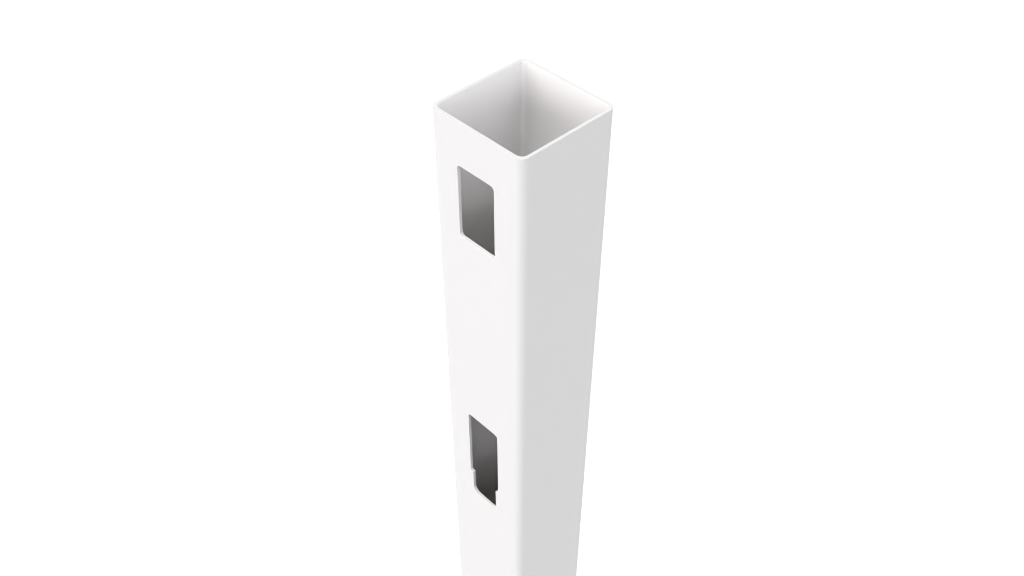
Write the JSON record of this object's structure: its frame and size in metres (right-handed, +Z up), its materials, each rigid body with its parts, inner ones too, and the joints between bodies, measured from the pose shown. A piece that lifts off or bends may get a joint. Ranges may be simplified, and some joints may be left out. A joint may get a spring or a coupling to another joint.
{
  "type": "fence post",
  "caption": "Square hollow white vinyl fence end post, open at both ends, with routed rail pockets in its front wall",
  "frame": {"origin": "centre of the post's foot, on the ground end face", "axes": "+Z up along the post, -Y out of the wall with the rail pockets, +X to the right of someone who faces that wall"},
  "size_m": [0.127, 0.127, 2.4384],
  "materials": {
    "vinyl": "satin white extruded PVC with sawn ends and routed pocket edges"
  },
  "bodies": {
    "root": {"post": "vinyl"}
  },
  "joints": []
}
